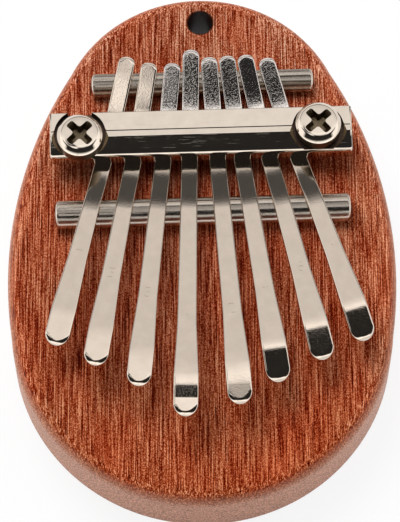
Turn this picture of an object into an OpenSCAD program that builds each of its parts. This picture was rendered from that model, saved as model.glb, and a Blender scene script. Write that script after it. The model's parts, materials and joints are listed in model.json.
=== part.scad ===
// Small thumb piano: an egg shaped board of solid wood, two round bridge rods,
// a clamp bar held by two screws, and eight spring steel keys.
// Units are millimetres. The board lies on z = 0, its narrow end points to +Y.

/* [Board] */
// Length of the board, from the wide end to the narrow end
board_l = 105; // [98:0.5:118]
// Width of the board at its widest place
board_w = 74.5; // [70:0.5:84]
// Thickness of the board
board_t = 14.5; // [12:0.5:20]
// Round of the wide end, as a share of the board width
wide_round = 0.489; // [0.47:0.001:0.495]
// Round of the narrow end, as a share of the board width
narrow_round = 0.378; // [0.36:0.001:0.43]
// Roundover of the top edge
top_round = 3; // [1.5:0.25:4]
// Roundover of the bottom edge
bottom_round = 1; // [0.5:0.25:2]
// Diameter of the hanging hole
hole_d = 5; // [3:0.25:7]
// Distance of the hanging hole from the narrow end
hole_inset = 6; // [5:0.25:8]

/* [Metal work on the board] */
// Distance of the clamp bar from the narrow end of the board
bar_inset = 32.75; // [30:0.25:36]
// Turn of the whole metal work on the board, as it was screwed down
skew = 1.2; // [-3:0.1:3]
// Distance from the clamp bar to the front bridge
front_gap = 14.5; // [13:0.1:16]
// Distance from the clamp bar to the rear bridge
rear_gap = 12.8; // [12:0.1:15]

/* [Bridge rods] */
// Diameter of the rear rod
rear_d = 4.4; // [4:0.1:4.8]
// Diameter of the front rod
front_d = 5.3; // [4.8:0.1:5.6]
// Depth of the grooves that the rods lie in
groove_depth = 0.6; // [0.3:0.1:1]
// Length of rod left free outside the outer keys
rod_over = 5.1; // [4:0.1:7]
// How far the rear rod lies to the right of the middle
rear_shift = 0.6; // [-1:0.1:1]

/* [Clamp bar] */
// Width of the clamp bar
bar_w = 8.8; // [7.5:0.1:10]
// Height of the clamp bar at its ridge
bar_h = 4.4; // [4:0.1:6]
// Slope of the front half of the bar's top, in degrees
bar_slope = 12; // [6:0.5:16]
// Round of the long front edge of the bar
bar_round = 1.6; // [0.8:0.1:2]
// Length of bar beyond each screw
bar_end = 6.1; // [6:0.05:9]
// Depth of the seats of the screw heads below the ridge
seat_depth = 1.3; // [1:0.1:1.8]
// Gap around the screw heads in their seats
seat_gap = 1; // [0.9:0.05:1.25]

/* [Screws] */
// Diameter of the screw heads
head_d = 8.1; // [7.4:0.1:8.6]
// Height of the screw heads
head_h = 2.9; // [2.4:0.1:3.4]
// Diameter of the screw shanks
screw_d = 3.2; // [3:0.1:4]
// Length of the screws under the head
screw_l = 14; // [12:0.5:15]
// Gap between an outer key and a screw shank
screw_gap = 0.6; // [0.6:0.1:2]
// How far both screws lie to the left of the middle
screw_shift = 0.35; // [0:0.05:0.4]
// Turn of the cross slots, in degrees
cross_turn = 42; // [0:1:90]

/* [Keys] */
// Width of a key along its shank
key_w = 3.3; // [2.8:0.1:3.7]
// Thickness of a key
key_t = 1; // [0.8:0.05:1.2]
// Even gap between neighbouring keys at their tails
tail_gap = 0.2; // [0.2:0.05:0.6]
// Angle between neighbouring keys, in degrees
fan_step = 4; // [3:0.05:4.2]
// Depth by which the bar presses the keys below the front bridge
press = 2.5; // [2:0.1:2.7]
// Length of a key behind the rear bridge
tail_over = 4; // [3.5:0.05:5]
// Rise of the tails towards the back, in degrees
tail_rise = 13; // [9:0.5:15]
// Rise of the tongues towards the tips, in degrees
tongue_rise = 7; // [4:0.5:9]
// Reach of the root key beyond the front bridge
root_reach = 43.9; // [41:0.1:46]
// How much shorter the next lowest key is
root_step = 2; // [1:0.1:4]
// How much shorter each further key is
reach_step = 4.2; // [3.5:0.1:5]
// Width of a key where it begins to flare
neck_w = 3.7; // [3.7:0.1:4]
// Width of the flattened pad at the tip of a key
pad_w = 4.7; // [4.1:0.1:5.2]
// Length of the pad
pad_l = 7.8; // [6:0.1:8]
// Length of the flare before the pad
flare_l = 10.5; // [8:0.5:11]
// Bend of the pad against its tongue, in degrees
pad_dip = 13; // [7:0.5:18]

/* [Hidden] */
$fn = 96;

key_count = 8;
// The root key is the fourth from the left, the longest one.
root_key = 3;
// The keys were set by hand. How far each tail ends off the common line:
tail_drift = [0.7, -0.7, -0.95, 1.5, 0.05, 0.15, 0.2, -0.4];
// How far each tip ends off the even steps:
reach_drift = [0.3, 0.2, 0.2, -0.1, -0.25, -0.35, -0.05, 0.8];
// Extra room between the tails of neighbouring keys:
tail_room = [0.85, 0.8, -0.2, -0.2, -0.15, -0.15, 0.25];
// How far the middle of the fan lies off the middle of the bar:
fan_shift = 0.25;
// Extra turn of each key against an even fan, in degrees:
lean_drift = [0.3, -0.4, -0.8, -0.3, 1, 0.4, 1.2, 1.5];
// Extra rise of each tail, and extra dip of each pad, in degrees:
rise_drift = [-4.5, -1.5, -0.8, 1, 0, 1, 2, -0.3];
dip_drift = [-7, -7, -7, 5, 0, 4, 3, 4];
// The tip of the root key is bent up again, this much and over this length:
curl = [0, 0, 0, 11, 0, 0, 0, 0];
curl_l = 3.4;
// The screws sit off the middle of their seats. How far each one lies towards the tips:
screw_fore = [0.85, -0.35];
// Running fit of a steel part in wood or in its hole.
fit = 0.05;
// Slit at the flex line between a shank and its tongue.
slit = 0.1;
// Bevel at the ends of rods and bar.
bevel = 0.4;
// Screw head, as shares of its size: rounded top, then length, width and depth of the cross slot.
head_round = 0.25;
slot_long = 0.76;
slot_wide = 0.2;
slot_deep = 0.6;
// The screw ends in a blunt point, this share of its diameter.
point_share = 0.2;
// Overshoot of cutting bodies.
past = 1;

// Egg outline: a circle at each end, and two flank arcs that run just inside both.
lap = 0.2;
half_w = board_w / 2;
wide_r = wide_round * board_w;
narrow_r = narrow_round * board_w;
wide_y = wide_r - board_l / 2;
narrow_y = board_l / 2 - narrow_r;
centres = narrow_y - wide_y;
wide_in = wide_r - lap;
narrow_in = narrow_r - lap;
wide_rest = half_w - wide_in;
narrow_rest = half_w - narrow_in;
ends_diff = wide_in * wide_in - narrow_in * narrow_in;
rest_diff = wide_rest - narrow_rest;
qa = pow(rest_diff / centres, 2);
qb = 2 * rest_diff + 2 * rest_diff * ends_diff / pow(centres, 2) - 4 * wide_rest;
qc = pow(centres + ends_diff / centres, 2) + 4 * (half_w * half_w - wide_in * wide_in);
flank_r = qc / (sqrt(qb * qb - 4 * qa * qc) - qb);
flank_x = flank_r - half_w;
flank_y = wide_y + sqrt(pow(flank_r - wide_in, 2) - flank_x * flank_x);
seam_low = wide_y - wide_r * (flank_y - wide_y) / (flank_r - wide_in);
seam_high = narrow_y + narrow_r * (narrow_y - flank_y) / (flank_r - narrow_in);
hole_y = board_l / 2 - hole_inset;

// Heights of the stack: rods in their grooves, keys over the rods, bar on the keys.
rear_r = rear_d / 2;
front_r = front_d / 2;
rear_z = board_t - groove_depth + rear_r;
front_z = board_t - groove_depth + front_r;
crest = front_z + front_r / cos(tongue_rise) + fit / 4;
dip_z = crest - press;
bar_z = dip_z + key_t;
ridge_z = bar_z + bar_h;
seat_z = ridge_z - seat_depth;

// Plan of the metal work, measured from the middle of the clamp bar.
bar_y = board_l / 2 - bar_inset;
tail_reach = rear_gap + tail_over;
last_key = key_count - 1;
outer_turn = max(-key_turn(0), key_turn(last_key));
outer_half = key_w / cos(outer_turn) / 2;
tail_pitch = 2 * outer_half + tail_gap;
middle_x = tail_pitch * root_key + sum(tail_room, root_key - 1) + (tail_pitch + tail_room[root_key]) / 2;
front_half = outer_x(front_gap) + outer_half + rod_over;
rear_half = outer_x(-rear_gap) + outer_half + rod_over;
screw_x = outer_x(bar_w / 2) + outer_half + screw_gap + screw_d / 2;
bar_half = screw_x + bar_end;
screw_places = [-screw_x - screw_shift, screw_x - screw_shift];
// Cutting outlines are raised this high, well above the keys.
sky_z = 2 * ridge_z;

wood = [0.62, 0.30, 0.17];
nickel = [0.80, 0.77, 0.73];

// Everything metal is set out from the middle of the bar and turned together.
module on_board() {
    translate([0, bar_y, 0])
        rotate([0, 0, skew])
            children();
}

// Half of the board section, from the turning axis out to radius r.
module edge_section(r) {
    low = bottom_round;
    high = top_round;
    square([r - high, board_t]);
    translate([0, low])
        square([r, board_t - high - low]);
    square([r - low, board_t - high]);
    translate([r - low, low])
        circle(r = low);
    translate([r - high, board_t - high])
        circle(r = high);
}

// Round slab with the board's rounded edge.
module puck(x, y, r) {
    translate([x, y, 0])
        rotate_extrude()
            edge_section(r);
}

// Board blank: a puck at each end, and the two flanks between them.
module egg_slab() {
    puck(0, wide_y, wide_r);
    puck(0, narrow_y, narrow_r);
    intersection() {
        puck(-flank_x, flank_y, flank_r);
        puck(flank_x, flank_y, flank_r);
        translate([-board_w, seam_low, -past])
            cube([2 * board_w, seam_high - seam_low, board_t + 2 * past]);
    }
}

// Groove for a rod with radius r, from the middle of the rod.
module groove(r, half) {
    translate([-half - bevel, 0, 0])
        rotate([0, 90, 0])
            cylinder(r = r + fit, h = 2 * half + 2 * bevel);
}

// Sets a rod or its groove out from the bar.
module at_rear() {
    translate([rear_shift, rear_gap, rear_z])
        children();
}

module at_front() {
    translate([0, -front_gap, front_z])
        children();
}

module board() {
    color(wood)
        difference() {
            egg_slab();
            translate([0, hole_y, -past])
                cylinder(d = hole_d, h = board_t + 2 * past);
            on_board() {
                at_rear()
                    groove(rear_r, rear_half);
                at_front()
                    groove(front_r, front_half);
                for (side = [0, 1])
                    translate([screw_places[side], -screw_fore[side], seat_z - screw_l - fit])
                        cylinder(d = screw_d + 2 * fit, h = board_t);
            }
        }
}

// Round rod with bevelled ends, lying along X.
module rod(r, half) {
    translate([-half, 0, 0])
        rotate([0, 90, 0])
            rotate_extrude()
                polygon([[0, 0], [r - bevel, 0], [r, bevel],
                    [r, 2 * half - bevel], [r - bevel, 2 * half], [0, 2 * half]]);
}

module rear_bridge() {
    color(nickel)
        on_board()
            at_rear()
                rod(rear_r, rear_half);
}

module front_bridge() {
    color(nickel)
        on_board()
            at_front()
                rod(front_r, front_half);
}

// Section of the bar: flat behind the ridge, a gentle slope and a rounded edge in front.
module bar_section() {
    r = bar_round;
    half = bar_w / 2;
    shoulder = bar_h - half * tan(bar_slope);
    edge_z = shoulder - r * (1 - sin(bar_slope)) / cos(bar_slope);
    polygon([[-half, 0], [half, 0], [half, bar_h - bevel], [half - bevel, bar_h], [0, bar_h],
        [r * (1 - sin(bar_slope)) - half, edge_z + r * cos(bar_slope)], [-half, edge_z]]);
    translate([r - half, edge_z])
        circle(r = r);
}

module clamp_bar() {
    color(nickel)
        on_board()
            difference() {
                translate([-bar_half, 0, bar_z])
                    rotate([90, 0, 90])
                        linear_extrude(2 * bar_half)
                            bar_section();
                for (side = [0, 1])
                    translate([screw_places[side], 0, 0]) {
                        translate([0, 0, seat_z])
                            cylinder(d = head_d + 2 * seat_gap, h = bar_h);
                        translate([0, -screw_fore[side], bar_z - past])
                            cylinder(d = screw_d + 4 * fit, h = bar_h + past);
                    }
            }
}

// Pan head screw with a cross slot, its head seated at z = 0.
module pan_screw() {
    r = head_d / 2;
    top_r = head_h * head_round;
    slot_l = head_d * slot_long;
    slot_w = head_d * slot_wide;
    slot_depth = head_h * slot_deep;
    tip = screw_d;
    difference() {
        union() {
            rotate_extrude() {
                square([r - top_r, head_h]);
                square([r, head_h - top_r]);
                translate([r - top_r, head_h - top_r])
                    intersection() {
                        circle(r = top_r);
                        square(top_r);
                    }
            }
            translate([0, 0, tip - screw_l])
                cylinder(d = screw_d, h = screw_l - tip + fit);
            translate([0, 0, -screw_l])
                cylinder(d1 = screw_d * point_share, d2 = screw_d, h = tip);
        }
        for (turn = [0, 90])
            rotate([0, 0, cross_turn + turn])
                translate([-slot_l / 2, -slot_w / 2, head_h - slot_depth])
                    cube([slot_l, slot_w, head_h]);
    }
}

module screw(side) {
    color(nickel)
        on_board()
            translate([screw_places[side], -screw_fore[side], seat_z])
                pan_screw();
}

module screw_left() {
    screw(0);
}

module screw_right() {
    screw(1);
}

// Turn of key k in the fan, and its place at the tails and at distance v before the bar.
function sum(list, last) = last < 0 ? 0 : list[last] + sum(list, last - 1);
function key_turn(k) = fan_step * (k - last_key / 2) + lean_drift[k];
function tail_x(k) = tail_pitch * k + sum(tail_room, k - 1) - middle_x + fan_shift;
function key_x(k, v) = tail_x(k) + (tail_reach + v) * tan(key_turn(k));
function outer_x(v) = max(-key_x(0, v), key_x(last_key, v));

// Distances along key k, measured from the bar towards its tip.
function front_s(k) = front_gap / cos(key_turn(k));
function rear_s(k) = -rear_gap / cos(key_turn(k));
function bar_s(k) = bar_w / 2 / cos(key_turn(k));
function tail_s(k) = rear_s(k) - tail_over - tail_drift[k];

// Keys get shorter on both sides of the root key.
function key_rank(k) = k < root_key ? root_key - k : k - root_key - 1;
function even_reach(k) = k == root_key ? root_reach : root_reach - root_step - reach_step * key_rank(k);
function tip_s(k) = front_s(k) + even_reach(k) + reach_drift[k];

// Each tail has its own rise, and so its own height over the rear bridge.
function tail_angle(k) = tail_rise + rise_drift[k];
function rear_crest(k) = rear_z + rear_r / cos(tail_angle(k)) + fit / 4;

// Smooth rise by a height from the bar to a bridge: u runs from 0 to 1 over length len.
function lift(u, len, height, slope) =
    (3 * height - slope * len) * u * u + (slope * len - 2 * height) * pow(u, 3);

// Underside of the clamped part of key k, from the tail to the flex line.
rise_steps = 8;
function shank_line(k) = let (
        rear = -rear_s(k) - bar_s(k),
        front = front_s(k) - bar_s(k),
        rear_lift = rear_crest(k) - dip_z,
        slope = tan(tail_angle(k)))
    concat(
        [[tail_s(k) - past, rear_crest(k) + (rear_s(k) - tail_s(k) + past) * slope]],
        [for (i = [rise_steps:-1:1]) let (u = i / rise_steps)
            [-bar_s(k) - u * rear, dip_z + lift(u, rear, rear_lift, slope)]],
        [[-bar_s(k), dip_z], [bar_s(k), dip_z]],
        [for (i = [1:rise_steps]) let (u = i / rise_steps)
            [bar_s(k) + u * front, dip_z + lift(u, front, press, tan(tongue_rise))]]);

// Underside of the free part of key k: straight tongue, then the bent pad.
bend_steps = 4;
bend_l = 2;
function bend_drop(k, s) = let (
        past_bend = s - tip_s(k) + pad_l,
        run = min(past_bend, bend_l))
    tan(pad_dip + dip_drift[k]) * (run * run / bend_l / 2 + past_bend - run);
function tongue_z(k, s) = crest + (s - front_s(k)) * tan(tongue_rise) - bend_drop(k, s);
function tongue_line(k) = let (
        bend = tip_s(k) - pad_l,
        turn_up = tip_s(k) - curl_l,
        end = tip_s(k) + past)
    concat(
        [[front_s(k), crest]],
        [for (i = [0:bend_steps]) let (s = bend + bend_l * i / bend_steps)
            [s, tongue_z(k, s)]],
        [for (s = curl[k] > 0 ? [turn_up] : []) [s, tongue_z(k, s)]],
        [[end, tongue_z(k, end) + (end - turn_up) * tan(curl[k])]]);

// Strip of key thickness above a line of [distance, height] points.
module strip(line) {
    back = [for (i = [len(line) - 1:-1:0]) line[i] + [0, key_t]];
    rotate([90, 0, 90])
        translate([0, 0, -pad_w])
            linear_extrude(2 * pad_w)
                polygon(concat(line, back));
}

// Sets a key out in the fan; along the key, +Y runs towards the tip here.
module in_fan(k) {
    on_board()
        translate([key_x(k, 0), 0, 0])
            rotate([0, 0, 180 + key_turn(k)])
                children();
}

module shank(k) {
    color(nickel)
        in_fan(k)
            intersection() {
                strip(shank_line(k));
                linear_extrude(sky_z) {
                    translate([-key_w / 2, tail_s(k) + key_w / 2])
                        square([key_w, front_s(k) - slit / 2 - tail_s(k) - key_w / 2]);
                    translate([0, tail_s(k) + key_w / 2])
                        circle(d = key_w);
                }
            }
}

module tongue(k) {
    start = front_s(k) + slit / 2;
    pad = tip_s(k) - pad_l;
    flare = pad - flare_l;
    end = tip_s(k) - pad_w / 2;
    color(nickel)
        in_fan(k)
            intersection() {
                strip(tongue_line(k));
                linear_extrude(sky_z) {
                    polygon([[-key_w / 2, start], [key_w / 2, start], [neck_w / 2, flare],
                        [pad_w / 2, pad], [pad_w / 2, end], [-pad_w / 2, end],
                        [-pad_w / 2, pad], [-neck_w / 2, flare]]);
                    translate([0, end])
                        circle(d = pad_w);
                }
            }
}

module key_1_shank() { shank(0); }
module key_2_shank() { shank(1); }
module key_3_shank() { shank(2); }
module key_4_shank() { shank(3); }
module key_5_shank() { shank(4); }
module key_6_shank() { shank(5); }
module key_7_shank() { shank(6); }
module key_8_shank() { shank(7); }
module key_1_tongue() { tongue(0); }
module key_2_tongue() { tongue(1); }
module key_3_tongue() { tongue(2); }
module key_4_tongue() { tongue(3); }
module key_5_tongue() { tongue(4); }
module key_6_tongue() { tongue(5); }
module key_7_tongue() { tongue(6); }
module key_8_tongue() { tongue(7); }

board();
rear_bridge();
front_bridge();
clamp_bar();
screw_left();
screw_right();
key_1_shank();
key_2_shank();
key_3_shank();
key_4_shank();
key_5_shank();
key_6_shank();
key_7_shank();
key_8_shank();
key_1_tongue();
key_2_tongue();
key_3_tongue();
key_4_tongue();
key_5_tongue();
key_6_tongue();
key_7_tongue();
key_8_tongue();
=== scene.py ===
# %% [markdown]
# # A small thumb piano
#
# The real object is an egg shaped board of red brown hardwood with a fan of eight spring steel keys.
# A bar with two screws presses the keys down between two round rods.
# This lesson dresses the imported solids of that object: the sizes and the joints come from the frame,
# and each cell models one piece or one finish.

# %% Load the frame
import bisect
import json
import math

import bpy
from mathutils import Matrix, Vector


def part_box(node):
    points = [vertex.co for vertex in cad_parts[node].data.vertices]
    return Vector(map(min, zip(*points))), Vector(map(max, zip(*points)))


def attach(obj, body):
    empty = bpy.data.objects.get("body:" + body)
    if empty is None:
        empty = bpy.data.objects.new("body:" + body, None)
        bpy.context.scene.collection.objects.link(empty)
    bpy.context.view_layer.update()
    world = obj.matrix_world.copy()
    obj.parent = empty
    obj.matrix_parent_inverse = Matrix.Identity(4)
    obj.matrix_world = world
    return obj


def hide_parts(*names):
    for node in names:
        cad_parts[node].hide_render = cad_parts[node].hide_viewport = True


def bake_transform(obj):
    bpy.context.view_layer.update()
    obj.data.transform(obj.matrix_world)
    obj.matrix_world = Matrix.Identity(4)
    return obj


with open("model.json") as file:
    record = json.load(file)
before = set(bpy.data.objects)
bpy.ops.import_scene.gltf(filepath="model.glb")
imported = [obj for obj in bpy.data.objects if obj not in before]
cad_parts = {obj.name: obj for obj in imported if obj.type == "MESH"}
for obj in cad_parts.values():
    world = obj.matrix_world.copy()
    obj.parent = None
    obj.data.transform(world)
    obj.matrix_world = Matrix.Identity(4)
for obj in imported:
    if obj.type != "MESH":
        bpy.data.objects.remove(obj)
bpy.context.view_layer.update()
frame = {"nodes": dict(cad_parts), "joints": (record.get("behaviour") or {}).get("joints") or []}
MM = 0.001

# %% [markdown]
# ## Setting out
#
# The metal work was screwed down a little askew, so it has axes of its own: one along the front rod
# and one from the keys' tips back to their tails. The angle could be typed in, but the hinges of the keys
# all lie on the crest of the front rod, so the first and the last of them give the line.

# %% Axes of the metal work
hinges = [Vector(joint["pos_m"]) for joint in frame["joints"]]
along = (hinges[-1] - hinges[0]).normalized()
back = Vector((-along.y, along.x, 0))
skew = math.atan2(along.y, along.x)


def middle(node):
    """Centre of a solid's box."""
    low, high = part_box(node)
    return (low + high) / 2


def span(node, axis):
    """Lowest and highest place of a solid along a direction."""
    places = [vertex.co.dot(axis) for vertex in frame["nodes"][node].data.vertices]
    return min(places), max(places)


print("metal work turned by", round(math.degrees(skew), 2), "degrees")

# %% [markdown]
# ## Working by operators
#
# Each piece starts as a primitive and is shaped in edit mode, as by hand.
# An operator works on what is selected, so a few small helpers are enough. They start a piece with a clean
# selection, pick points, edges or faces by a test on their place, cut one piece with another, and close it.

# %% Helpers for edit mode
MODES = {"VERT": (True, False, False), "EDGE": (False, True, False), "FACE": (False, False, True)}
NEAR = 0.001 * MM
MERGE = 0.002 * MM


def start(name, primitive, **settings):
    """Add a primitive with nothing else selected, and open it in edit mode."""
    if bpy.context.object and bpy.context.object.mode != "OBJECT":
        bpy.ops.object.mode_set(mode="OBJECT")
    bpy.ops.object.select_all(action="DESELECT")
    primitive(**settings)
    piece = bpy.context.object
    piece.name = piece.data.name = name
    bpy.ops.object.transform_apply(location=True, rotation=True, scale=True)
    bpy.ops.object.mode_set(mode="EDIT")
    return piece


def pick(kind, test):
    """Select the points, edges or faces of the open piece that pass a test on their corner points."""
    bpy.ops.object.mode_set(mode="OBJECT")
    mesh = bpy.context.object.data
    bpy.context.tool_settings.mesh_select_mode = MODES[kind]
    spots = [vertex.co.copy() for vertex in mesh.vertices]
    for group in (mesh.vertices, mesh.edges, mesh.polygons):
        group.foreach_set("select", [False] * len(group))
    if kind == "VERT":
        mesh.vertices.foreach_set("select", [bool(test(spot)) for spot in spots])
    else:
        parts = mesh.edges if kind == "EDGE" else mesh.polygons
        chosen = [bool(test([spots[i] for i in part.vertices])) for part in parts]
        parts.foreach_set("select", chosen)
    bpy.ops.object.mode_set(mode="EDIT")


def pick_all():
    """Select all of the open piece."""
    bpy.ops.mesh.select_all(action="SELECT")


def push(x, y, z):
    """Extrude what is selected by a step."""
    bpy.ops.mesh.extrude_region_move(TRANSFORM_OT_translate={"value": (x, y, z)})


# %% Helpers for whole pieces
def merge():
    """Merge the doubles of the open piece and turn its faces one way."""
    pick_all()
    bpy.ops.mesh.remove_doubles(threshold=MERGE)
    bpy.ops.mesh.normals_make_consistent(inside=False)


def close(piece, angle=35):
    """Merge doubles, turn the faces outwards and shade the piece smooth up to an angle in degrees."""
    merge()
    bpy.ops.object.mode_set(mode="OBJECT")
    # The sign of the volume shows whether a piece with deep cuts came out inside out.
    if sum(face.area * face.center.dot(face.normal) for face in piece.data.polygons) < 0:
        bpy.ops.object.mode_set(mode="EDIT")
        pick_all()
        bpy.ops.mesh.flip_normals()
        bpy.ops.object.mode_set(mode="OBJECT")
    bpy.ops.object.shade_smooth_by_angle(angle=math.radians(angle))


def cut(piece, cutter):
    """Take a closed cutter out of a piece; the cut faces keep the cutter's finish."""
    bpy.ops.object.mode_set(mode="OBJECT")
    bpy.context.view_layer.objects.active = piece
    knife = piece.modifiers.new("cut", "BOOLEAN")
    knife.object = cutter
    knife.solver = "EXACT"
    knife.material_mode = "TRANSFER"
    bpy.ops.object.modifier_apply(modifier="cut")
    bpy.data.objects.remove(cutter)
    bpy.ops.object.select_all(action="DESELECT")
    piece.select_set(True)
    bpy.ops.object.mode_set(mode="EDIT")


def flatten(piece):
    """Let the large faces of a finished piece keep their own normals, so that they mirror evenly."""
    even = piece.modifiers.new("even", "WEIGHTED_NORMAL")
    even.keep_sharp = True
    even.weight = 100
    bpy.ops.object.modifier_apply(modifier="even")


def place(piece, matrix):
    """Move a finished mesh; its object stays at the origin."""
    piece.data.transform(matrix)
    piece.data.update()


# %% [markdown]
# ## The camera
#
# The picture was taken from in front and well above, with a long lens: the far end of the board is hardly
# smaller than the near end. A constraint could aim the camera, but an angle, a distance and a roll say
# the same in three numbers. They are fitted to the outline of the board.

# %% Camera
VIEW_UP = 68
VIEW_FAR = 600 * MM
VIEW_ROLL = -0.46
LENS = 213.6
target = Vector((-0.37, -1.27, 7.25)) * MM
rise = math.radians(VIEW_UP)
camera = bpy.data.objects.new("camera", bpy.data.cameras.new("camera"))
bpy.context.scene.collection.objects.link(camera)
camera.data.lens = LENS
camera.data.clip_start = 10 * MM
camera.location = target + VIEW_FAR * Vector((0, -math.cos(rise), math.sin(rise)))
tilt = Matrix.Rotation(math.pi / 2 - rise, 4, "X") @ Matrix.Rotation(math.radians(VIEW_ROLL), 4, "Z")
camera.rotation_euler = tilt.to_euler()
bpy.context.scene.camera = camera
print("camera at", [round(n, 3) for n in camera.location])

# %% [markdown]
# ## Nodes by the line
#
# A finish is a small tree of nodes. It could be wired socket by socket, but a few helpers keep it readable:
# they add a node with its values, make a colour ramp, and mix or remap what flows through the tree.

# %% Helpers for finishes
WHITE = (1, 1, 1)
BLACK = (0, 0, 0)


def new_finish(name):
    """An empty material with its shader; gives the material, its tree and the shader."""
    finish = bpy.data.materials.new(name)
    finish.use_nodes = True
    return finish, finish.node_tree, finish.node_tree.nodes["Principled BSDF"]


def feed(tree, node, inputs):
    """Give sockets of a node, by name or number, a value or another socket."""
    for key, value in dict(inputs).items():
        if isinstance(value, bpy.types.NodeSocket):
            tree.links.new(value, node.inputs[key])
        else:
            node.inputs[key].default_value = value


def add(tree, kind, inputs=(), **settings):
    """Add a node and feed it."""
    node = tree.nodes.new("ShaderNode" + kind)
    for key, value in settings.items():
        setattr(node, key, value)
    feed(tree, node, inputs)
    return node


def ramp(tree, factor, *stops):
    """A colour ramp with stops of place and colour."""
    node = add(tree, "ValToRGB", {"Fac": factor})
    steps = node.color_ramp.elements
    while len(steps) < len(stops):
        steps.new(0.5)
    for step, (position, colour) in zip(steps, stops):
        step.position = position
        step.color = (*colour, 1)
    return node.outputs["Color"]


def remap(tree, value, low, high, to_low=0.0, to_high=1.0):
    """Carry a value over from one range to another."""
    ends = {"From Min": low, "From Max": high, "To Min": to_low, "To Max": to_high}
    return add(tree, "MapRange", {"Value": value, **ends}).outputs[0]


def mix_values(tree, share, first, second):
    """A value between two values."""
    return add(tree, "Mix", {0: share, 2: first, 3: second}, data_type="FLOAT").outputs[0]


def mix_colours(tree, share, first, second, way="MIX"):
    """A colour between two colours, or another way of joining them."""
    return add(tree, "Mix", {0: share, 6: first, 7: second}, data_type="RGBA", blend_type=way).outputs[2]


def tinted(tree, colour, shade, share=1.0):
    """Multiply a colour by a shade."""
    return mix_colours(tree, share, colour, shade, "MULTIPLY")


def place_on(tree):
    """The place on the piece, in metres from the origin."""
    return add(tree, "TexCoord").outputs["Object"]


def dress(piece, finish):
    """Give a piece one finish."""
    piece.data.materials.clear()
    piece.data.materials.append(finish)


# %% [markdown]
# ## The wood
#
# The board is a red brown hardwood with open pores: short dark dashes along the grain, over ribbons of
# lighter and darker wood. A flat picture of wood could be laid on it, but a pattern in space runs through the
# board, so the grain meets itself at every edge. It is noise and cells, stretched along the board.
# Fibres, specks and pores lie over each other, because real dashes come in all lengths.

# %% Grain of the wood
# Sizes of the patterns in mm, across and along the grain.
FIBRE = (0.25, 11)
SPECK = (0.19, 0.3)
RIBBON = (5, 60)
BLOTCH = (9, 16)
PORE = (0.8, 14)
LEAN = math.radians(4)
SPECK_SHARE = 0.42
PORE_SHARE = 0.9
# Colours by their place on a ramp: the grain itself, and the tints over it.
GRAIN = ((0.34, (0.055, 0.002, 0.0005)), (0.43, (0.145, 0.010, 0.001)), (0.50, (0.31, 0.062, 0.02)),
         (0.57, (0.51, 0.176, 0.092)), (0.66, (0.68, 0.34, 0.21)))
RIBBON_TINT = ((0.30, (0.93, 0.83, 0.75)), (0.70, (1.07, 1.14, 1.17)))
BLOTCH_TINT = ((0.36, (1.03, 0.93, 0.88)), (0.64, (0.97, 1.1, 1.15)))
PORE_TINT = ((0.12, (0.30, 0.13, 0.08)), (0.22, WHITE))
# Painted light from one end of the board to the other: lighter towards the right, paler towards the back.
PAINTED_LIGHT_TINTS = {"X": ((0.97, 0.97, 0.97), (1.16, 1.17, 1.17)), "Y": ((1.18, 0.97, 0.80), (1.13, 1.2, 1.3))}
TINT_REACH = 45 * MM


def stretched(tree, size, turn=0.0):
    """Places scaled so that one unit is a cell of this size in mm, across and along the grain."""
    across, lengthwise = size
    scale = (1 / (across * MM), 1 / (lengthwise * MM), 1 / (across * MM))
    settings = {"Vector": place_on(tree), "Scale": scale, "Rotation": (0, 0, turn)}
    return add(tree, "Mapping", settings).outputs[0]


def noise(tree, size, turn=0.0, **looks):
    """Noise with cells of this size in mm, across and along the grain."""
    return add(tree, "TexNoise", {"Vector": stretched(tree, size, turn), "Scale": 1, **looks}).outputs["Fac"]


def grain(tree):
    """Colour of the wood with painted light over it, with the fibres and pores that its gloss and relief
    follow.
    """
    fibre = noise(tree, FIBRE, LEAN, Detail=1, Roughness=0.7)
    speck = noise(tree, SPECK, LEAN, Detail=1)
    colour = ramp(tree, mix_values(tree, SPECK_SHARE, fibre, speck), *GRAIN)
    colour = tinted(tree, colour, ramp(tree, noise(tree, RIBBON, Detail=1, Distortion=0.5), *RIBBON_TINT))
    colour = tinted(tree, colour, ramp(tree, noise(tree, BLOTCH, Detail=2), *BLOTCH_TINT))
    spot = add(tree, "SeparateXYZ", {0: place_on(tree)})
    # Painted light: lighter to the right and paler towards the back.
    for axis, (near, far) in PAINTED_LIGHT_TINTS.items():
        way = remap(tree, spot.outputs[axis], -TINT_REACH, TINT_REACH)
        colour = tinted(tree, colour, ramp(tree, way, (0, near), (1, far)))
    cells = add(tree, "TexVoronoi", {"Vector": stretched(tree, PORE, LEAN), "Scale": 1})
    pores = ramp(tree, cells.outputs["Distance"], *PORE_TINT)
    return tinted(tree, colour, pores, PORE_SHARE), fibre, pores


# %% [markdown]
# The round of the top edge gets a painted highlight, the wall is paler with dust and a painted sheen, and the
# hanging hole gets painted shade inside. These could be painted by hand, but the slant of the surface and the
# distance from the hole already say where they are.

# %% Edge, wall and hole of the wood
# A painted highlight on the round of the top edge, placed by the slant of the surface.
EDGE_HIGHLIGHT = ((0.80, WHITE), (0.92, (1.2, 1.4, 1.55)), (0.985, WHITE))
WALL_FROM, WALL_TO = 0.85, 0.25
GRIT = (0.32, 0.32)
# The wall is paler: partly dust and end grain, partly a painted sheen of the white floor.
DUST_AND_SHEEN = ((0.36, (0.29, 0.112, 0.062)), (0.64, (0.92, 0.46, 0.31)))
HOLE_D = 5 * MM
HOLE_Y = 46.5 * MM
# Painted shade inside the hanging hole.
HOLE_SHADE = (0.14, 0.09, 0.07)
HOLE_RIM = (0.05 * MM, 0.35 * MM)


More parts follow.
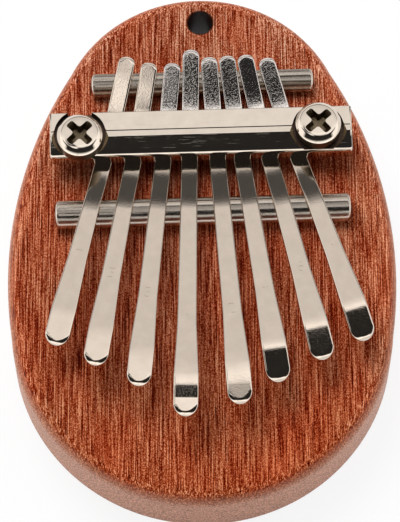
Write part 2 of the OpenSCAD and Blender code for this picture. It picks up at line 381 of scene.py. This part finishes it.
def painted_edge_and_wall(tree, colour):
    """The colour with a painted highlight on its round edge and dust with a painted sheen on its wall, and the
    share of the wall in it.
    """
    slant = add(tree, "SeparateXYZ", {0: add(tree, "NewGeometry").outputs["Normal"]}).outputs["Z"]
    # Painted highlight: a paler band where the round of the top edge begins to slope.
    colour = tinted(tree, colour, ramp(tree, slant, *EDGE_HIGHLIGHT))
    wall = remap(tree, slant, WALL_FROM, WALL_TO)
    # Dust with a painted sheen on the wall.
    dust_and_sheen = ramp(tree, noise(tree, GRIT, Detail=2, Roughness=0.7), *DUST_AND_SHEEN)
    return mix_colours(tree, wall, colour, dust_and_sheen), wall


def shaded_hole(tree, colour):
    """The colour, with painted shade inside the hanging hole."""
    plan = add(tree, "VectorMath", {0: place_on(tree), 1: (1, 1, 0)}, operation="MULTIPLY")
    away = add(tree, "VectorMath", {0: plan.outputs[0], 1: (0, HOLE_Y, 0)}, operation="DISTANCE")
    rim = remap(tree, away.outputs["Value"], *[HOLE_D / 2 + reach for reach in HOLE_RIM])
    return tinted(tree, colour, ramp(tree, rim, (0, HOLE_SHADE), (1, WHITE)))


# %% Finish of the wood
def make_wood():
    """Open grained hardwood with a thin, dull finish."""
    finish, tree, shader = new_finish("red_hardwood")
    colour, fibre, pores = grain(tree)
    colour, wall = painted_edge_and_wall(tree, colour)
    relief = mix_values(tree, 0.5, fibre, pores)
    bump = add(tree, "Bump", {"Height": relief, "Strength": 0.4, "Distance": 0.1 * MM})
    feed(tree, shader, {
        "Base Color": shaded_hole(tree, colour),
        "Roughness": remap(tree, fibre, 0, 1, 0.34, 0.54),
        "Specular IOR Level": remap(tree, wall, 0, 1, 0.02, 0.15),
        "Normal": bump.outputs["Normal"],
        "Coat Weight": 0.02,
        "Coat Roughness": 0.2,
    })
    return finish


wood = make_wood()
dress(frame["nodes"]["board"], wood)
print("wood made of", len(wood.node_tree.nodes), "nodes")

# %% [markdown]
# ## The plating
#
# Keys, rods, bar and screws are nickel plated: a warm, bright metal. The screws are polished, and so is the
# bar, with fine scratches along it. The rods are drawn and duller, the keys have the orange peel of tumbled
# steel, and most of their tails are pitted until they look frosted. The cross recesses and the flanks of the
# screw heads hold grime with painted shade, and the seats and holes in the bar have painted shade alone.
# Each could be built from nothing, but they are one metal in several states, so one recipe makes them all.

# %% Recipe of the plated steel
CLOUD = 2.5 * MM
CLOUD_DARK = 0.92
CLOUD_ENDS = (0.3, 0.7)
DULL_SPREAD = 0.2
PIT_ENDS = (0.50, 0.66)
SCRATCH_ENDS = (0.66, 0.72)
SCRATCHES_PER_MM = (0.15, 7, 7)


def make_nickel(name, colour, dull, pits, spacing, scratch=0.0):
    """Plated steel: dull is its roughness, pits the depth of its fine pits and spacing their distance in mm,
    scratch the depth in mm of fine lines along the metal work."""
    finish, tree, shader = new_finish(name)
    spot = place_on(tree)
    cloud = add(tree, "TexNoise", {"Vector": spot, "Scale": 1 / CLOUD, "Detail": 4}).outputs["Fac"]
    stops = zip(CLOUD_ENDS, ([part * CLOUD_DARK for part in colour], colour))
    gloss = remap(tree, cloud, *CLOUD_ENDS, dull * (1 - DULL_SPREAD), dull * (1 + DULL_SPREAD))
    speck = add(tree, "TexNoise", {"Vector": spot, "Scale": 1 / (spacing * MM), "Detail": 2,
                                   "Roughness": 0.6})
    pitted = ramp(tree, speck.outputs["Fac"], *zip(PIT_ENDS, (WHITE, BLACK)))
    bump = add(tree, "Bump", {"Height": pitted, "Strength": 1, "Distance": pits * MM})
    if scratch:
        scale = [count / MM for count in SCRATCHES_PER_MM]
        lines = add(tree, "Mapping", {"Vector": spot, "Rotation": (0, 0, -skew), "Scale": scale})
        wear = add(tree, "TexNoise", {"Vector": lines.outputs[0], "Scale": 1, "Detail": 1})
        groove = ramp(tree, wear.outputs["Fac"], *zip(SCRATCH_ENDS, (WHITE, BLACK)))
        bump = add(tree, "Bump", {"Height": groove, "Strength": 1, "Distance": scratch * MM,
                                  "Normal": bump.outputs[0]})
    feed(tree, shader, {"Base Color": ramp(tree, cloud, *stops), "Roughness": gloss,
                        "Normal": bump.outputs["Normal"], "Metallic": 1.0})
    return finish


# %% States of the plated steel
BRIGHT = (0.74, 0.64, 0.54)
PALE = (0.74, 0.675, 0.625)
polished = make_nickel("polished_nickel", BRIGHT, dull=0.06, pits=0.0005, spacing=0.5)
worn = make_nickel("worn_nickel", BRIGHT, dull=0.06, pits=0.0005, spacing=0.5, scratch=0.0025)
satin = make_nickel("satin_nickel", (0.72, 0.61, 0.51), dull=0.06, pits=0.0024, spacing=0.28)
grained = make_nickel("grained_nickel", PALE, dull=0.09, pits=0.0058, spacing=0.3)
frosted = make_nickel("frosted_nickel", PALE, dull=0.09, pits=0.0082, spacing=0.3)
drawn = make_nickel("drawn_nickel", (0.68, 0.59, 0.50), dull=0.16, pits=0.002, spacing=0.6)
# Grime with painted shade, for the cross recesses and the flanks of the screw heads.
grime_and_shade = make_nickel("grime_and_shade_nickel", (0.21, 0.16, 0.10), dull=0.35, pits=0.02, spacing=0.3)
# Painted shade, for the seats and holes in the bar.
painted_shade = make_nickel("painted_shade_nickel", (0.07, 0.046, 0.036), dull=0.3, pits=0.01, spacing=0.4)
print("finishes:", [finish.name for finish in bpy.data.materials if finish.name.endswith("_nickel")])

# %% [markdown]
# ## The keys
#
# A real key is stamped out of strip steel, tumbled until its edges are round, and then bent.
# It could be carved from the solid key, but the lesson makes it as the maker does, so that light runs along
# one even strip: a flat outline from arcs and straight runs, rings of inset edges that are lowered to a round
# edge, thickness by Solidify, cuts across for the bends, and then the bends themselves.

# %% Sizes of a key
KEY_W = 3.3 * MM
KEY_T = 1.0 * MM
NECK_W = 3.7 * MM
PAD_W = 4.7 * MM
PAD_L = 7.8 * MM
FLARE_L = 10.5 * MM
BEND_L = 2.0 * MM
CURL_L = 3.4 * MM
ARC_STEPS = 24
# Widths of the rings of edges in mm, from the outline inwards.
RINGS = (0.06, 0.06, 0.08, 0.10, 0.12, 0.12, 0.12, 0.14, 0.16, 0.20)
# The round edge: the roll along the sides, and the slant at both ends with its reach and its softness.
ROLL = 0.3 * MM
SLANT_REACH = 0.75 * MM
SLANT_SOFT = 0.35
TIP_SLANT = 1.6
TAIL_SLANT = 1.2
# How far a bend is smoothed to either side: in general, on the soft keys, at the crease and over the rods.
BEND_REACH = 1.0 * MM
SOFT_REACH = 2.2 * MM
SOFT_KEYS = (4, 5)
CREASE_REACH = 0.3 * MM
CREASE_ROOM = 0.6 * MM
ROD_REACH = 4 * MM
ROD_RUN = (-16 * MM, 3 * MM)
REACH_STEPS = 4
# A face belongs to the upper side where its normal rises more than this.
UPWARD = 0.7
# Cuts across the blank: along the shank, through the bend of the pad, beside the crease and along the flare.
SHANK_CUT = 0.7 * MM
SHANK_END = 2 * MM
BEND_CUTS = 6
CREASE_CUT = 0.15 * MM
FLARE_CUTS = 4


# %% Shape of a key
class Key:
    """One key, measured on its two solids; s runs along it, from its hinge to its tip."""

    def __init__(self, number):
        joint = frame["joints"][number - 1]
        self.number = number
        self.reach = SOFT_REACH if number in SOFT_KEYS else BEND_REACH
        self.body = joint["child"]
        self.nodes = [f"key_{number}_shank", f"key_{number}_tongue"]
        self.across = Vector(joint["axis"])
        self.forward = Vector((self.across.y, -self.across.x, 0))
        self.hinge = Vector(joint["pos_m"])
        home = self.hinge.dot(self.forward)
        self.tail = span(self.nodes[0], self.forward)[0] - home
        self.tip = span(self.nodes[1], self.forward)[1] - home
        self.tail_centre = self.tail + KEY_W / 2
        self.pad_centre = self.tip - PAD_W / 2
        self.pad = self.tip - PAD_L
        self.flare = self.pad - FLARE_L
        self.tops = self.measure_tops()

    def measure_tops(self):
        """Places along the solids' upper side, with their heights above the hinge."""
        tops = {}
        for mesh in [frame["nodes"][node].data for node in self.nodes]:
            for face in mesh.polygons:
                if face.normal.z > UPWARD:
                    for spot in [mesh.vertices[i].co - self.hinge for i in face.vertices]:
                        tops[round(spot.dot(self.forward) / MM, 2)] = spot.z
        return sorted((s * MM, z) for s, z in tops.items())

    def top(self, s):
        """Height of the solids' upper side above the hinge."""
        i = min(max(1, bisect.bisect(self.tops, (s, 0))), len(self.tops) - 1)
        (near, low), (far, high) = self.tops[i - 1], self.tops[i]
        return low + (high - low) * min(1, max(0, (s - near) / (far - near)))

    def line(self, s):
        """The same, with the bends smoothed, most over the rods and least at the crease near the tip."""
        reach = self.reach
        if self.tip - s < CURL_L + CREASE_ROOM:
            reach = CREASE_REACH
        elif ROD_RUN[0] < s < ROD_RUN[1]:
            reach = ROD_REACH
        steps = range(-REACH_STEPS, REACH_STEPS + 1)
        return sum(self.top(s + reach * i / REACH_STEPS) for i in steps) / len(steps)

    def width(self, s):
        """Width of the outline, without its round ends."""
        runs = ((self.pad, PAD_W), (self.flare, NECK_W), (0, KEY_W))
        for (far, wide), (near, narrow) in zip(runs, runs[1:]):
            if s >= far:
                return wide
            if s >= near:
                return narrow + (wide - narrow) * (s - near) / (far - near)
        return KEY_W

    def edge(self, x, s):
        """How far the round edge lowers the upper side: a roll along the sides, a slant at the ends."""
        nose, slant, inside = 0, TIP_SLANT, self.width(s) / 2 - abs(x)
        tip_end = (self.pad_centre, PAD_W / 2, TIP_SLANT, s > self.pad_centre)
        tail_end = (self.tail_centre, KEY_W / 2, TAIL_SLANT, s < self.tail_centre)
        for centre, radius, steep, beyond in (tip_end, tail_end):
            if beyond:
                out = math.hypot(x, s - centre)
                nose, slant, inside = ((s - centre) / max(out, 1e-9)) ** 2, steep, radius - out
        inward = min(1, max(0, 1 - inside / ROLL))
        side = ROLL * (1 - math.sqrt(1 - inward ** 2))
        end = slant * SLANT_REACH * (math.hypot(max(0, 1 - inside / SLANT_REACH), SLANT_SOFT) - SLANT_SOFT)
        return side + (end - side) * nose

    def stations(self):
        """Places where the blank is cut across, so that it can bend."""
        count = int((SHANK_END - self.tail_centre) / SHANK_CUT)
        places = [self.tail_centre + SHANK_CUT * i for i in range(count)]
        places += [self.pad + BEND_L * i / BEND_CUTS for i in range(-1, BEND_CUTS + 2)]
        places += [self.tip - CURL_L + CREASE_CUT * i for i in range(-2, 3)]
        places += [self.flare + FLARE_L * i / FLARE_CUTS for i in range(FLARE_CUTS)]
        return places + [self.pad_centre]


# %% Outline of a key
def outline(key):
    """Flat outline: an arc at the pad, straight runs, an arc at the tail."""
    piece = start(f"key_{key.number}", bpy.ops.mesh.primitive_circle_add, vertices=2 * ARC_STEPS,
                  radius=PAD_W / 2, location=(0, key.pad_centre, 0))
    pick("VERT", lambda spot: spot.y < key.pad_centre - NEAR)
    bpy.ops.mesh.delete(type="VERT")
    here = key.pad_centre
    for there in (key.pad, key.flare, 0, key.tail_centre):
        pick("VERT", lambda spot: abs(spot.y - here) < NEAR)
        push(0, there - here, 0)
        ratio = key.width(there) / key.width(here)
        bpy.ops.transform.resize(value=(ratio, 1, 1), center_override=(0, there, 0))
        here = there
    pick("VERT", lambda spot: abs(spot.y - here) < NEAR and spot.x > 0)
    bpy.ops.mesh.spin(steps=ARC_STEPS, angle=math.pi, center=(0, here, 0), axis=(0, 0, 1))
    pick_all()
    bpy.ops.mesh.remove_doubles(threshold=MERGE)
    bpy.ops.mesh.edge_face_add()
    return piece


# %% [markdown]
# Each key carries the number of its note, stamped so lightly that it shows only at an angle.
# A bump in the finish could show it too, but a shallow cut takes the light from every side.
# The numbers are common numerals: the notes run outwards from the root key, left and right in turn.

# %% Stamp of a key
NOTES = "75312461"
NOTE_FROM_TIP = 18.9 * MM
NOTE_SIZE = 3.2 * MM
STAMP_DEPTH = 0.05 * MM


def stamp(piece, key):
    """Cut the number of its note into the flat blank."""
    bpy.ops.object.mode_set(mode="OBJECT")
    bpy.ops.object.select_all(action="DESELECT")
    bpy.ops.object.text_add(location=(0, key.tip - NOTE_FROM_TIP, 0), rotation=(0, 0, math.pi))
    die = bpy.context.object
    die.data.body = NOTES[key.number - 1]
    die.data.size = NOTE_SIZE
    die.data.align_x = die.data.align_y = "CENTER"
    die.data.extrude = STAMP_DEPTH
    bpy.ops.object.convert(target="MESH")
    bpy.ops.object.transform_apply(location=True, rotation=True, scale=True)
    bpy.ops.object.mode_set(mode="EDIT")
    merge()
    cut(piece, die)


# %% Blank of a key
def blank(key):
    """The flat key: outline, rings of edges, thickness, stamp and cuts across."""
    piece = outline(key)
    for ring in RINGS:
        bpy.ops.mesh.inset(thickness=ring * MM, depth=0)
    bpy.ops.object.mode_set(mode="OBJECT")
    if piece.data.polygons[0].normal.z < 0:
        piece.data.flip_normals()
    shell = piece.modifiers.new("thickness", "SOLIDIFY")
    shell.thickness = KEY_T
    shell.offset = -1
    bpy.ops.object.modifier_apply(modifier="thickness")
    stamp(piece, key)
    for s in key.stations():
        pick_all()
        bpy.ops.mesh.bisect(plane_co=(0, s, 0), plane_no=(0, 1, 0))
    bpy.ops.object.mode_set(mode="OBJECT")
    return piece


# %% [markdown]
# The blank is then rounded and bent: every point is lowered by the round edge and follows the line of the
# solid key. A curve could bend it too, but the line is measured, so the key stays where its solid is.
# The tails behind the bar have finishes of their own.

# %% Make the keys
TAILS = (satin, satin, frosted, frosted, frosted, frosted, grained, frosted)


def make_key(number):
    """One whole key, from its tail to its tip."""
    key = Key(number)
    piece = blank(key)
    for vertex in piece.data.vertices:
        upper = vertex.co.z > -KEY_T / 2
        vertex.co.z += key.line(vertex.co.y) - (key.edge(vertex.co.x, vertex.co.y) if upper else 0)
    bpy.ops.object.mode_set(mode="EDIT")
    close(piece, angle=40)
    turn = Matrix((-key.across, key.forward, (0, 0, 1))).transposed().to_4x4()
    place(piece, Matrix.Translation(key.hinge) @ turn)
    dress(piece, satin)
    piece.data.materials.append(TAILS[number - 1])
    under_bar = middle("clamp_bar").dot(key.forward)
    for face in piece.data.polygons:
        face.material_index = int(face.center.dot(key.forward) < under_bar)
    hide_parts(*key.nodes)
    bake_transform(piece)
    print(piece.name, "length in mm:", round((key.tip - key.tail) / MM, 1))


for number in range(1, len(hinges) + 1):
    make_key(number)

# %% [markdown]
# ## The rods
#
# The two bridges are plain round rods, cut to length, with the cut edges broken by a small round.
# A profile could be spun round an axis, but a cylinder with its two end rims bevelled is the same shape with
# less work, and the drawn finish does the rest.

# %% Make the rods
ROUND_STEPS = 96
ROD_ROUND = 0.7 * MM


def set_out(piece, spot):
    """Turn a piece that was modelled along X to the askew metal work, and move it to its spot."""
    place(piece, Matrix.Translation(spot) @ Matrix.Rotation(skew, 4, "Z"))


def make_rod(node):
    """One bridge, as long and as thick as its solid."""
    low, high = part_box(node)
    left, right = span(node, along)
    half = (right - left) / 2
    piece = start(node + "_rod", bpy.ops.mesh.primitive_cylinder_add, vertices=ROUND_STEPS,
                  radius=(high.z - low.z) / 2, depth=2 * half, rotation=(0, math.pi / 2, 0))
    pick("EDGE", lambda ends: all(abs(abs(end.x) - half) < NEAR for end in ends))
    bpy.ops.mesh.bevel(offset=ROD_ROUND, segments=6)
    close(piece)
    set_out(piece, middle(node))
    dress(piece, drawn)
    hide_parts(node)
    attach(piece, "instrument")
    print(piece.name, "length in mm:", round(2 * half / MM, 1))


for node in ("rear_bridge", "front_bridge"):
    make_rod(node)

# %% [markdown]
# ## The screws
#
# Pan head screws with a cross recess. A round bevel on a cylinder would do for a head, but it mirrors the
# dark card in a wide ring. So the top is inset step by step: a steep, coned rim first, and then a crown that
# is nearly flat and mirrors the white light. The flank is dull and dark with grime and painted shade, and the
# shank is extruded from the underside. The recess, also dark with grime and painted shade, is cut by a punch:
# a block with four arms drawn out of its sides, filleted and tapered.

# %% Punch of the cross recess
HEAD_D = 8.7 * MM
HEAD_H = 3.7 * MM
CROSS_L = 5.9 * MM
CROSS_W = 1.6 * MM
CROSS_DEPTH = 1.9 * MM
CROSS_TAPER = 0.4
INNER_ROUND = 0.5 * MM
OUTER_ROUND = 0.45 * MM


def upright(ends):
    """Whether an edge stands upright."""
    return (ends[0] - ends[1]).xy.length < NEAR


def off_axis(spot):
    """The larger of a place's distances from the two middle planes."""
    return max(abs(spot.x), abs(spot.y))


def make_punch():
    """The cross that is punched into the head."""
    half, long = CROSS_W / 2, CROSS_L / 2
    piece = start("punch", bpy.ops.mesh.primitive_cube_add, size=CROSS_W, location=(0, 0, HEAD_H))
    for axis, sign in ((0, 1), (0, -1), (1, 1), (1, -1)):
        pick("FACE", lambda corners: all(sign * corner[axis] > half - NEAR
                                         and abs(corner[1 - axis]) < half + NEAR for corner in corners))
        step = [0, 0, 0]
        step[axis] = sign * (long - half)
        push(*step)
    pick("EDGE", lambda ends: upright(ends) and all(off_axis(end) < half + NEAR for end in ends))
    bpy.ops.mesh.bevel(offset=INNER_ROUND, segments=5)
    pick("EDGE", lambda ends: upright(ends) and all(off_axis(end) > long - NEAR for end in ends))
    bpy.ops.mesh.bevel(offset=OUTER_ROUND, segments=4)
    pick_all()
    bpy.ops.transform.resize(value=(1, 1, 2 * CROSS_DEPTH / CROSS_W), center_override=(0, 0, HEAD_H))
    for side in (-1, 1):
        pick("VERT", lambda spot: side * (spot.z - HEAD_H) > 0)
        width = 1 + side * CROSS_TAPER
        bpy.ops.transform.resize(value=(width, width, 1), center_override=(0, 0, HEAD_H))
    bpy.ops.object.mode_set(mode="OBJECT")
    # The recess gets grime with painted shade.
    dress(piece, grime_and_shade)
    return piece


# %% Model of a screw
SHANK_D = 3.2 * MM
SHANK_L = 14 * MM
UNDER_ROUND = 0.2 * MM
# Width of the point, as a share of the shank's.
POINT = 0.2
# The crown of the head in mm, from its rim inwards: how far in each step goes, and how far up.
CROWN = ((0.75, 1.0), (0.13, 0.09), (0.13, 0.043), (0.8, 0.035), (0.8, 0.03), (0.6, 0.015), (0.4, 0.005))


def model_screw():
    """One screw, with the underside of its head at the origin."""
    rim = HEAD_H - sum(rise for _, rise in CROWN) * MM
    piece = start("screw", bpy.ops.mesh.primitive_cylinder_add, vertices=ROUND_STEPS, radius=HEAD_D / 2,
                  depth=rim, location=(0, 0, rim / 2))
    pick("FACE", lambda corners: all(corner.z > rim - NEAR for corner in corners))
    for inward, rise in CROWN:
        bpy.ops.mesh.inset(thickness=inward * MM, depth=rise * MM)
    pick("EDGE", lambda ends: all(end.z < NEAR for end in ends))
    bpy.ops.mesh.bevel(offset=UNDER_ROUND, segments=2)
    pick("FACE", lambda corners: all(corner.z < NEAR for corner in corners))
    bpy.ops.mesh.inset(thickness=HEAD_D / 2 - UNDER_ROUND - SHANK_D / 2)
    push(0, 0, SHANK_D - SHANK_L)
    push(0, 0, -SHANK_D)
    bpy.ops.transform.resize(value=(POINT, POINT, 1), center_override=(0, 0, 0))
    bpy.ops.object.mode_set(mode="OBJECT")
    dress(piece, polished)
    # Below the rim the head gets grime with painted shade.
    piece.data.materials.append(grime_and_shade)
    for face in piece.data.polygons:
        face.material_index = int(face.center.z < rim)
    cut(piece, make_punch())
    close(piece, angle=20)
    flatten(piece)
    return piece


# %% [markdown]
# Both could be modelled in place, but they are alike: one screw is modelled, and the second is a copy of it
# with its own mesh. Each is turned a little differently, as screws end up when they are driven home, and
# stands on the floor of its seat in the bar.

# %% Make the screws
SEAT_DEPTH = 1.3 * MM
SLOT_TURNS = {"screw_left": 45, "screw_right": 42}


def seat_screw(piece, node):
    """Put a finished screw where its solid is, with its head on the floor of its seat."""
    piece.name = piece.data.name = node + "_pan"
    spot = Vector((*middle(node).xy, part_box("clamp_bar")[1].z - SEAT_DEPTH))
    turn = math.radians(SLOT_TURNS[node])
    place(piece, Matrix.Translation(spot) @ Matrix.Rotation(turn, 4, "Z"))
    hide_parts(node)
    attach(piece, "instrument")


screw = model_screw()
twin = screw.copy()
twin.data = screw.data.copy()
bpy.context.scene.collection.objects.link(twin)
seat_screw(screw, "screw_left")
seat_screw(twin, "screw_right")
print("screws:", len(screw.data.polygons), "faces each")

# %% [markdown]
# ## The clamp bar
#
# The bar is flat behind a soft ridge and slopes a little in front of it, down to a round front edge.
# Its profile could be drawn from the end and extruded. It starts as a block instead, as on a milling table:
# cuts along it make the steps of the ridge, the front is lowered, and bevels round or break the edges.

# %% Block of the bar
BAR_SLOPE = math.tan(math.radians(12))
# Steps of the ridge in mm: how far behind the middle each line lies, and how far below the flat.
RIDGE = ((0.60, 0), (0.42, 0.07), (-0.35, 0.12), (-0.53, 0.19), (-0.75, 0.205))
FRONT_ROUND = 1.3 * MM
EDGE_ROUND = 0.12 * MM
END_ROUND = 0.3 * MM


def bar_block(length, depth, height):
    """The bar without its holes, with its underside at the origin."""
    piece = start("clamp_bar_plate", bpy.ops.mesh.primitive_cube_add, size=1, location=(0, 0, 0.5))
    dress(piece, worn)
    pick_all()
    bpy.ops.transform.resize(value=(length, depth, height), center_override=(0, 0, 0))
    last, low_step = RIDGE[-1]
    front = depth / 2 / MM
    for line, drop in (*RIDGE, (-front, low_step + BAR_SLOPE * (last + front))):
        pick_all()
        bpy.ops.mesh.bisect(plane_co=(0, line * MM, 0), plane_no=(0, 1, 0))
        pick("VERT", lambda spot: abs(spot.y - line * MM) < NEAR and spot.z > height - NEAR)
        bpy.ops.transform.translate(value=(0, 0, -drop * MM))
    pick("EDGE", lambda ends: all(end.y < NEAR - depth / 2 and end.z > height / 2 for end in ends))
    bpy.ops.mesh.bevel(offset=FRONT_ROUND, segments=12)
    for side, level in ((-1, 0), (1, height)):
        pick("EDGE", lambda ends: all(side * end.y > depth / 2 - NEAR and abs(end.z - level) < NEAR
                                      for end in ends))
        bpy.ops.mesh.bevel(offset=EDGE_ROUND, segments=3)
    for side in (-1, 1):
        pick("EDGE", lambda ends: all(side * end.x > length / 2 - NEAR for end in ends))
        bpy.ops.mesh.bevel(offset=END_ROUND, segments=2)
    return piece


# %% [markdown]
# The seats of the screw heads are drilled last, wider than the bar, so that they break out in front and
# behind. A bevel of the edge that they leave would be hard to keep even on the slope, so a leaning cone takes
# the sharp lip off first.

# %% Make the bar
SEAT_D = 9.9 * MM
SHANK_ROOM = 0.2 * MM
DRILL_PAST = 1 * MM
LIP = 0.35 * MM
LIP_RISE = math.tan(math.radians(30))
LIP_ABOVE = 0.6 * MM
LIP_INSIDE = 0.07 * MM
LIP_STEPS = 90


def drill(piece, x, y, diameter, floor_z, top_z):
    """Take a round hole out of a piece, from floor_z up to top_z."""
    bit = start("bit", bpy.ops.mesh.primitive_cylinder_add, vertices=ROUND_STEPS, radius=diameter / 2,
                depth=top_z - floor_z, location=(x, y, (floor_z + top_z) / 2))
    bpy.ops.object.mode_set(mode="OBJECT")
    # The walls and floors that the bit leaves get painted shade.
    dress(bit, painted_shade)
    cut(piece, bit)


def break_lip(piece, x, top_z):
    """Take the sharp lip of a seat off where it runs down the slope: a cone that leans with the slope."""
    lean = math.atan(BAR_SLOPE)
    below = LIP * LIP_RISE
    up = (LIP_ABOVE - below) / 2
    bit = start("lip", bpy.ops.mesh.primitive_cone_add, vertices=LIP_STEPS, radius1=SEAT_D / 2 - LIP_INSIDE,
                radius2=SEAT_D / 2 + LIP + LIP_ABOVE / LIP_RISE, depth=below + LIP_ABOVE,
                location=(x, -up * math.sin(lean), top_z + up * math.cos(lean)), rotation=(lean, 0, 0))
    bpy.ops.object.mode_set(mode="OBJECT")
    dress(bit, polished)
    cut(piece, bit)


def make_bar():
    """The whole bar, with the seats and the holes of both screws."""
    low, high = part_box("clamp_bar")
    left, right = span("clamp_bar", along)
    front, rear = span("clamp_bar", back)
    height = high.z - low.z
    piece = bar_block(right - left, rear - front, height)
    last, low_step = RIDGE[-1]
    for node in ("screw_left", "screw_right"):
        off = middle(node) - middle("clamp_bar")
        x, y = off.dot(along), off.dot(back)
        break_lip(piece, x, height - (low_step + BAR_SLOPE * last) * MM)
        drill(piece, x, 0, SEAT_D, height - SEAT_DEPTH, height + DRILL_PAST)
        drill(piece, x, y, SHANK_D + SHANK_ROOM, -DRILL_PAST, height)
    close(piece, angle=18)
    flatten(piece)
    set_out(piece, Vector((*middle("clamp_bar").xy, low.z)))
    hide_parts("clamp_bar")
    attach(piece, "instrument")
    print(piece.name, "faces:", len(piece.data.polygons))


make_bar()

# %% [markdown]
# ## The light
#
# The picture was taken in soft white light from all round, with a dark card above the camera.
# Lamps could light it, but the metal mirrors the whole room, so the room itself is drawn: levels of light by
# their angle, from the far horizon over the top to the near one. On the left the card starts nearer to the
# camera, with a thin dark line before it, and far out to both sides the room is white.

# %% World
# Light levels by their angle in degrees: 0 is the far horizon, 90 is straight up and 180 the near horizon.
FAR_SIDE = ((26, 0.75), (31, 0.10), (42.5, 0.09), (48.5, 0.90), (56, 0.86), (66, 1.06))
CARD = (*FAR_SIDE, (75, 1.35), (80, 1.35), (84.5, 0.025), (162, 0.025), (169, 1.6))
LEFT_CARD = (*FAR_SIDE, (70, 1.0), (73, 0.05), (79, 0.05), (82, 1.35), (94, 1.35), (97, 0.025),
             (162, 0.025), (169, 1.4))
LEFT_ENDS = (-0.3, 0)
LEFT_SHARE = ((0.15, BLACK), (0.25, WHITE), (0.68, WHITE), (0.80, BLACK))
SIDE_ENDS = (0.8, 0.9)
SIDE_LIGHT = (1.4, 1.4, 1.4, 1)


def make_sky():
    """The room that lights the object and is mirrored in its metal."""
    world = bpy.data.worlds.new("studio")
    bpy.context.scene.world = world
    world.use_nodes = True
    tree = world.node_tree
    way = add(tree, "SeparateXYZ", {0: add(tree, "TexCoord").outputs["Generated"]})
    angle = add(tree, "Math", {0: way.outputs["Z"], 1: way.outputs["Y"]}, operation="ARCTAN2")
    turned = remap(tree, angle.outputs[0], 0, math.pi)
    card, left = [ramp(tree, turned, *[(degrees / 180, [level] * 3) for degrees, level in stops])
                  for stops in (CARD, LEFT_CARD)]
    share = ramp(tree, remap(tree, way.outputs["X"], *LEFT_ENDS), *LEFT_SHARE)
    room = mix_colours(tree, share, card, left)
    side = add(tree, "Math", {0: way.outputs["X"]}, operation="ABSOLUTE")
    whole = mix_colours(tree, remap(tree, side.outputs[0], *SIDE_ENDS), room, SIDE_LIGHT)
    feed(tree, tree.nodes["Background"], {"Color": whole})
    return world


sky = make_sky()
print("room made of", len(sky.node_tree.nodes), "nodes")

# %% [markdown]
# ## Floor and lamp
#
# The object lies on white paper. More light could make it white, but would bleach the wood.
# So the paper glows a little, only where the camera or a mirror looks at it, and part of it stays plain paper
# that keeps the object's shadow. One large lamp behind on the left gives that shadow its direction.

# %% Floor
FLOOR_SIZE = 6
FLOOR_DROP = 0.2 * MM
PAPER = (0.86, 0.86, 0.86, 1)
PAPER_DULL = 0.9
GLOW = 1.035
GLOW_SHARE = 0.85


def make_paper():
    """White paper that glows for the camera and for mirrors."""
    finish, tree, shader = new_finish("white_paper")
    feed(tree, shader, {"Base Color": PAPER, "Roughness": PAPER_DULL})
    rays = add(tree, "LightPath")
    glow = add(tree, "Emission", {"Color": (*WHITE, 1), "Strength": GLOW})
    either = add(tree, "Math", {0: rays.outputs["Is Camera Ray"], 1: rays.outputs["Is Glossy Ray"]},
                 operation="MAXIMUM")
    seen = add(tree, "Math", {0: either.outputs[0], 1: GLOW_SHARE}, operation="MULTIPLY")
    mixed = add(tree, "MixShader", {0: seen.outputs[0], 1: shader.outputs[0], 2: glow.outputs[0]})
    feed(tree, tree.nodes["Material Output"], {"Surface": mixed.outputs[0]})
    return finish


floor = start("floor", bpy.ops.mesh.primitive_plane_add, size=FLOOR_SIZE, location=(0, 0, -FLOOR_DROP))
bpy.ops.object.mode_set(mode="OBJECT")
dress(floor, make_paper())
print("floor of", FLOOR_SIZE, "m")

# %% Lamp
LAMP_SIZE = 1.0
LAMP_POWER = 13
lamp = bpy.data.objects.new("soft_lamp", bpy.data.lights.new("soft_lamp", "AREA"))
bpy.context.scene.collection.objects.link(lamp)
lamp.data.shape = "DISK"
lamp.data.size = LAMP_SIZE
lamp.data.energy = LAMP_POWER
lamp.visible_glossy = False
lamp.location = (-0.4, 0.7, 1.2)
lamp.rotation_euler = (-lamp.location).to_track_quat("-Z", "Y").to_euler()
bpy.context.scene.view_settings.view_transform = "Standard"
print("lamp of", LAMP_POWER, "W at", [round(n, 2) for n in lamp.location])
